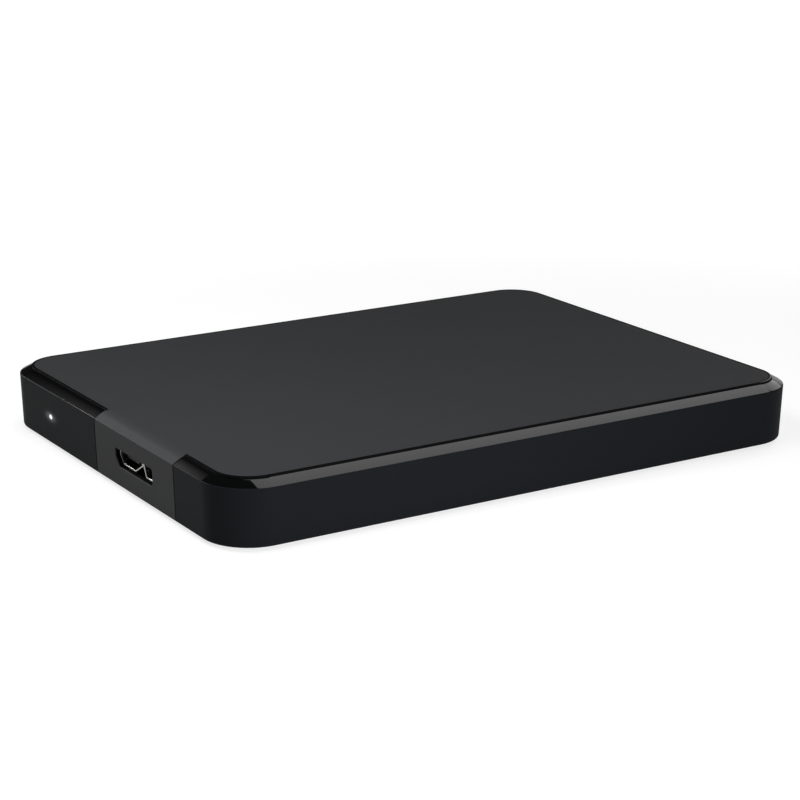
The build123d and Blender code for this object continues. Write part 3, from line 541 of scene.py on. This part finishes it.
# %% Rounded mouth of the window
cover_bm = bmesh.new()
cover_bm.from_mesh(cover.data)
in_opening = {v for v in cover_bm.verts if v.co.y < draft - half_l
              and window_left - weld < v.co.x < window_right + weld
              and window_low - weld < v.co.z < window_high + weld}
mouth = [e for e in cover_bm.edges if set(e.verts) <= in_opening]
bmesh.ops.bevel(cover_bm, geom=mouth, offset=window_round, offset_type="OFFSET", segments=3, profile=0.5,
                affect="EDGES", material=-1)
cover_bm.to_mesh(cover.data)
cover_bm.free()
print("window edges rounded:", len(mouth))
soften(cover, width=0.05 * MM, segments=3, angle=34)
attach(cover, "case")
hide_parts("top_cover")
print("cover:", len(cover.data.polygons), "faces")

# %% [markdown]
# ## Socket, light pipe and feet
# The socket's shell is folded from thin plated sheet, so its solid is right as it is and only needs its
# edges broken. The light pipe is a clear pin with a domed tip, so its half-section is spun round. The feet
# are punched from sheet rubber, so each is a short cylinder with its lower edge rounded.

# %% Socket shell
flat_within = radians(1)


def merged_copy(node, name):
    """A copy of a solid's mesh with its triangles joined into flats."""
    bm = bmesh.new()
    bm.from_mesh(frame["nodes"][node].data)
    bmesh.ops.remove_doubles(bm, verts=bm.verts[:], dist=weld)
    bmesh.ops.dissolve_limit(bm, angle_limit=flat_within, verts=bm.verts[:], edges=bm.edges[:])
    piece = add_piece(name, bm)
    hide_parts(node)
    return piece


shell = merged_copy("usb_shell", "socket_shell")
soften(shell, width=0.06 * MM, segments=2, angle=30)
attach(shell, "case")
print("socket shell:", len(shell.data.polygons), "faces")

# %% Light pipe
dome = 0.06 * MM
shoulder = 0.6
wall_y = wall_inset - half_l

pipe_bm = bmesh.new()
tip_y = pipe_low.y
rod = [(0, tip_y), (pipe_r * shoulder, tip_y + dome * shoulder ** 2), (pipe_r, tip_y + dome),
       (pipe_r, wall_y)]
wire = [pipe_bm.verts.new((pipe_x + r, y, pipe_z)) for r, y in rod]
edges = [pipe_bm.edges.new(pair) for pair in zip(wire, wire[1:])]
bmesh.ops.spin(pipe_bm, geom=wire + edges, cent=(pipe_x, 0, pipe_z), axis=(0, 1, 0), angle=2 * pi,
               steps=pipe_sides, use_merge=True)
bmesh.ops.remove_doubles(pipe_bm, verts=pipe_bm.verts[:], dist=weld)
bmesh.ops.holes_fill(pipe_bm, edges=[e for e in pipe_bm.edges if e.is_boundary], sides=0)
bmesh.ops.recalc_face_normals(pipe_bm, faces=pipe_bm.faces[:])
pipe = add_piece("clear_pipe", pipe_bm)
combine(pipe, box_tool((pipe_low.x, wall_y - dome, pipe_low.z), pipe_high), "UNION")
soften(pipe, width=0.05 * MM, segments=2, angle=38)
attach(pipe, "case")
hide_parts("light_pipe")
print("light pipe:", len(pipe.data.polygons), "faces")

# %% Feet
foot_count = 4
foot_radius = 4.5 * MM
foot_sides = 64
sole_round = 0.12 * MM

for number in range(1, foot_count + 1):
    low_corner, high_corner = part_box(f"foot_{number}")
    centre = (low_corner + high_corner) / 2
    foot_bm = bmesh.new()
    bmesh.ops.create_cone(foot_bm, cap_ends=True, segments=foot_sides, radius1=foot_radius,
                          radius2=foot_radius, depth=high_corner.z - low_corner.z)
    bmesh.ops.translate(foot_bm, verts=foot_bm.verts[:], vec=centre)
    round_level(foot_bm, low_corner.z, sole_round, segments=3)
    foot = add_piece(f"rubber_foot_{number}", foot_bm)
    soften(foot, width=0.02 * MM, segments=2, angle=40)
    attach(foot, "case")
    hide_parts(f"foot_{number}")
print("feet made:", foot_count)

# %% [markdown]
# ## Finishes that the eye meets
# The cover is soft-touch paint over moulded plastic, dull and evenly grained. The paint stops short of the
# plate's lip, which is polished. Inside the port window and on the wall under the lip, a darker black is
# painted shade, and round the status light the satin carries a painted glow. The case is one plastic with
# two surfaces: a spark-eroded satin on the sides, which takes the gloss off, and a polished bevel.

# %% A grained surface
grain_detail = 3.0


def grained(name, dark, light, rough, grain, relief, stretch=(1, 1, 1), **constants):
    """A finish whose colour, roughness and height follow one grain, sized in millimetres."""
    material, tree = bare_material(name)
    spot = add_node(tree, "ShaderNodeTexCoord")
    place = add_node(tree, "ShaderNodeMapping", {"Vector": spot.outputs["Object"], "Scale": stretch})
    noise = add_node(tree, "ShaderNodeTexNoise", {"Vector": place.outputs[0], "Scale": 1 / (grain * MM),
                     "Detail": grain_detail})
    tint = add_node(tree, "ShaderNodeMix", {"Factor": noise.outputs["Fac"], "A": linear(dark),
                    "B": linear(light)}, data_type="RGBA")
    matt = add_node(tree, "ShaderNodeMapRange", {"Value": noise.outputs["Fac"], "To Min": rough[0],
                    "To Max": rough[1]})
    bump = add_node(tree, "ShaderNodeBump", {"Height": noise.outputs["Fac"], "Distance": relief * MM})
    body = add_node(tree, "ShaderNodeBsdfPrincipled", {"Base Color": tint.outputs["Result"],
                    "Roughness": matt.outputs[0], "Normal": bump.outputs[0]})
    for socket, value in constants.items():
        body.inputs[socket.replace("_", " ")].default_value = value
    add_node(tree, "ShaderNodeOutputMaterial", {"Surface": body.outputs[0]})
    return material


# Soft-touch painted ABS: a dull dark grey with an even fine grain
soft_touch = grained("soft-touch painted ABS", "#303133", "#353638", (0.56, 0.68), 0.30, 0.010,
                     Specular_IOR_Level=0.30)
cover.data.materials.append(soft_touch)

# Polished black ABS: deep and clear, so only the lamps show in it
polished = grained("polished black ABS", "#060606", "#070808", (0.03, 0.05), 2.0, 0.0004)
cover.data.materials.append(polished)

# Darker black ABS as painted shade, inside the port window and on the wall under the lip
cover.data.materials.append(grained("black ABS painted as shade", "#0c0c0d", "#101112", (0.5, 0.6), 0.3, 0.004,
                                    Specular_IOR_Level=0.1))
print("cover and bevel finishes made")

# %% Where the paint stops, and where a darker black paints shade
shade_start_depth = 0.15 * MM
window_margin = 0.25 * MM


def edge_distance(spot):
    """How far a point of the plate lies inside its rounded outline."""
    side = half_w - rim_radius
    end = half_l - rim_radius
    corner = hypot(max(abs(spot.x) - side, 0), max(abs(spot.y) - end, 0))
    return rim_radius - plate_inset - corner


lip_faces = 0
painted_shade_faces = 0
for face in cover.data.polygons:
    spot = face.center
    on_tongue = tongue_left - weld < spot.x < tongue_right + weld and spot.y < tongue_root - half_l
    in_window = (window_left - clear < spot.x < window_right + clear
                 and window_low - window_margin < spot.z < window_high + window_margin)
    behind_skin = shade_start_depth - half_l + draft * (1 - spot.z / rim_z) < spot.y < wall_inset - half_l
    on_edge = not on_tongue and edge_distance(spot) < lip_width
    if on_edge and face.normal.z > facing_up:
        face.material_index = 1
        lip_faces += 1
    # Window walls and the wall under the lip take the darker black as painted shade
    elif on_edge or (on_tongue and in_window and behind_skin):
        face.material_index = 2
        painted_shade_faces += 1
print("polished lip faces:", lip_faces, "painted shade faces:", painted_shade_faces)

# %% Satin sides with a painted glow round the status light
painted_glow_width = 1.5 * MM
painted_glow_height = 0.6 * MM
painted_glow_level = 0.16
core_width = 0.75 * MM
core_height = 0.27 * MM
core_level = 2.6
light_tint = "#f4f8ff"
bevel_facing = 0.86


def glow_round_light(material, width, height, level):
    """Let a finish glow round the light, strongest at its centre: a painted glow on the case, the lit tip
    itself in the pipe.
    """
    tree = material.node_tree
    spot = tree.nodes["Texture Coordinate"]
    body = tree.nodes["Principled BSDF"]
    place = add_node(tree, "ShaderNodeMapping", {"Vector": spot.outputs["Object"],
                     "Location": (pipe_x, pipe_low.y, pipe_z), "Scale": (width, width, height)},
                     vector_type="TEXTURE")
    away = add_node(tree, "ShaderNodeVectorMath", {0: place.outputs[0], 1: place.outputs[0]},
                    operation="DOT_PRODUCT")
    fall = add_node(tree, "ShaderNodeMath", {0: away.outputs["Value"], 1: -1.0}, operation="MULTIPLY")
    spread = add_node(tree, "ShaderNodeMath", {0: fall.outputs[0]}, operation="EXPONENT")
    share = add_node(tree, "ShaderNodeMath", {0: spread.outputs[0], 1: level}, operation="MULTIPLY")
    tree.links.new(share.outputs[0], body.inputs["Emission Strength"])
    body.inputs["Emission Color"].default_value = linear(light_tint)


# Spark-eroded black ABS: the fine pits break up the gloss
satin = grained("spark-eroded black ABS", "#191b1e", "#1e2023", (0.46, 0.54), 0.25, 0.006,
                Specular_IOR_Level=0.06)
# The satin case emits round the status light: a painted glow
glow_round_light(satin, painted_glow_width, painted_glow_height, painted_glow_level)
case.data.materials.append(satin)
case.data.materials.append(polished)
gloss_faces = 0
for face in case.data.polygons:
    if face.center.z > rim_z and face.normal.z > bevel_facing:
        face.material_index = 1
        gloss_faces += 1
print("polished faces:", gloss_faces)

# %% Metal, rubber and light
# Nickel-plated steel sheet: bright, with a trace of the rolling direction
shell.data.materials.append(grained("nickel-plated steel sheet", "#b9b8b4", "#c9c8c4", (0.16, 0.28), 0.20,
                                    0.002, stretch=(1, 0.1, 1), Metallic=1.0))

# Sheet rubber: dead black with a cloudy bloom
rubber = grained("sheet rubber", "#151515", "#202020", (0.75, 0.9), 0.8, 0.01)
for number in range(1, foot_count + 1):
    bpy.data.objects[f"rubber_foot_{number}"].data.materials.append(rubber)

# Clear acrylic, lit from behind by the status light
acrylic = grained("clear acrylic", "#30343a", "#3a3e44", (0.08, 0.14), 0.5, 0.001)
glow_round_light(acrylic, core_width, core_height, core_level)
pipe.data.materials.append(acrylic)
print("socket, feet and pipe finished")

# %% [markdown]
# ## Finishes inside
# Nothing inside shows while the shells are closed, but a part that is taken apart should still look right,
# so each solid there gets the finish that its real piece has: cast, stamped, turned, rolled or moulded.

# %% One finish per slot
finishes = {
    # Moulded rubber: soft and dull
    "bumper_rubber": grained("moulded rubber", "#2b2b2d", "#343437", (0.7, 0.85), 0.6, 0.01),
    # Diffusing epoxy over the diode: pale and glossy
    "led_white": grained("diffusing epoxy", "#dcdcd6", "#ecece6", (0.2, 0.3), 0.4, 0.002),
    # Glass-filled nylon: black, with a dry sheen
    "socket_black": grained("glass-filled nylon", "#101010", "#181818", (0.45, 0.6), 0.15, 0.004),
    # Gold-plated bronze: warm and bright
    "contact_gold": grained("gold-plated bronze", "#d6ab52", "#e6c270", (0.18, 0.26), 0.3, 0.001,
                            Metallic=1.0),
    # Green solder mask over woven glass
    "board_mask": grained("solder mask", "#0f4a2c", "#165a36", (0.25, 0.35), 0.8, 0.004),
    # Moulded epoxy: grey-black and finely pitted
    "chip_black": grained("moulded epoxy", "#222224", "#2b2b2e", (0.5, 0.65), 0.2, 0.004),
    # Zinc-plated steel: bright with a cool cast
    "screw_steel": grained("zinc-plated steel", "#b4b6ba", "#c6c8cc", (0.25, 0.35), 0.3, 0.001,
                           Metallic=1.0),
    # Polyester film: thin, smooth and black
    "film_black": grained("polyester film", "#26262a", "#2e2e31", (0.3, 0.4), 3.0, 0.01),
    # Rolled aluminium foil: bright, and never quite flat
    "foil_aluminium": grained("rolled aluminium foil", "#d4d6d8", "#e6e7e8", (0.2, 0.32), 4.0, 0.05,
                              Metallic=1.0),
    # Die-cast aluminium under grey electrocoat: faintly pebbled
    "casting_aluminium": grained("coated die-cast aluminium", "#7d8084", "#8b8e92", (0.4, 0.5), 0.7, 0.015,
                                 Metallic=0.8),
    # Stamped aluminium sheet: fine lines from the mill
    "lid_aluminium": grained("stamped aluminium", "#c2c4c7", "#d2d3d5", (0.28, 0.38), 0.3, 0.003,
                             stretch=(1, 0.04, 1), Metallic=1.0),
    # Dispensed rubber bead: matt and black
    "gasket_rubber": grained("dispensed rubber", "#2a2a2a", "#363636", (0.7, 0.85), 0.5, 0.01),
    # Turned bronze: warm, with the marks of the tool
    "sleeve_bronze": grained("turned bronze", "#a97f49", "#bf9660", (0.25, 0.38), 0.15, 0.002,
                             stretch=(0.1, 0.1, 1), Metallic=1.0),
    # Laminated electrical steel, coated dark
    "core_steel": grained("laminated electrical steel", "#6d6e72", "#7e8084", (0.4, 0.5), 0.1, 0.003,
                          stretch=(0.1, 0.1, 1), Metallic=1.0),
    # Enamelled copper wire, wound in fine turns
    "winding_copper": grained("enamelled copper", "#b4622f", "#d98a4f", (0.2, 0.35), 0.12, 0.02,
                              stretch=(1, 1, 0.1), Metallic=1.0),
    # Turned stainless steel: close to a mirror
    "hub_steel": grained("turned stainless steel", "#bdbdbf", "#cfcfd1", (0.16, 0.26), 0.2, 0.001,
                         stretch=(0.1, 0.1, 1), Metallic=1.0),
    # Nickel-plated magnet: bright and slightly yellow
    "magnet_nickel": grained("nickel-plated magnet", "#c3c0b8", "#d3d0c8", (0.12, 0.22), 0.8, 0.002,
                             Metallic=1.0),
    # Polished platter: a mirror
    "platter_mirror": grained("polished platter", "#d8d8da", "#e0e0e2", (0.02, 0.04), 5.0, 0.0001,
                              Metallic=1.0),
    # Turned aluminium: pale, with fine rings
    "clamp_aluminium": grained("turned aluminium", "#c8c9cc", "#d8d9db", (0.24, 0.34), 0.2, 0.002,
                               Metallic=1.0),
    # Machined aluminium: pale, with cutter marks
    "arm_aluminium": grained("machined aluminium", "#c0c2c5", "#d2d3d6", (0.26, 0.36), 0.3, 0.003,
                             stretch=(1, 0.1, 1), Metallic=1.0),
    # Rolled spring steel: thin and bright
    "spring_steel": grained("rolled spring steel", "#b8b8b8", "#cacaca", (0.2, 0.3), 0.2, 0.001,
                            Metallic=1.0),
    # Lapped ceramic: smooth and nearly black
    "slider_ceramic": grained("lapped ceramic", "#2d2d30", "#38383b", (0.2, 0.3), 0.1, 0.0005),
    # Polyimide film: amber and glossy
    "flex_amber": grained("polyimide film", "#b0681a", "#c67e2a", (0.22, 0.32), 1.0, 0.004),
    # Liquid-crystal polymer: ivory and slippery
    "ramp_resin": grained("liquid-crystal polymer", "#dcd6c6", "#e8e2d4", (0.35, 0.45), 0.5, 0.004),
    # Needled felt: white and hairy
    "filter_felt": grained("needled felt", "#d8d8d2", "#f0f0ec", (0.9, 1.0), 0.15, 0.06),
}
dressed = 0
for row in frame["record"]["subparts"]:
    finish = finishes.get(row["material_slot"])
    if finish:
        mesh = frame["nodes"][row["node"]].data
        mesh.materials.clear()
        mesh.materials.append(finish)
        dressed += 1
print("inner solids finished:", dressed)
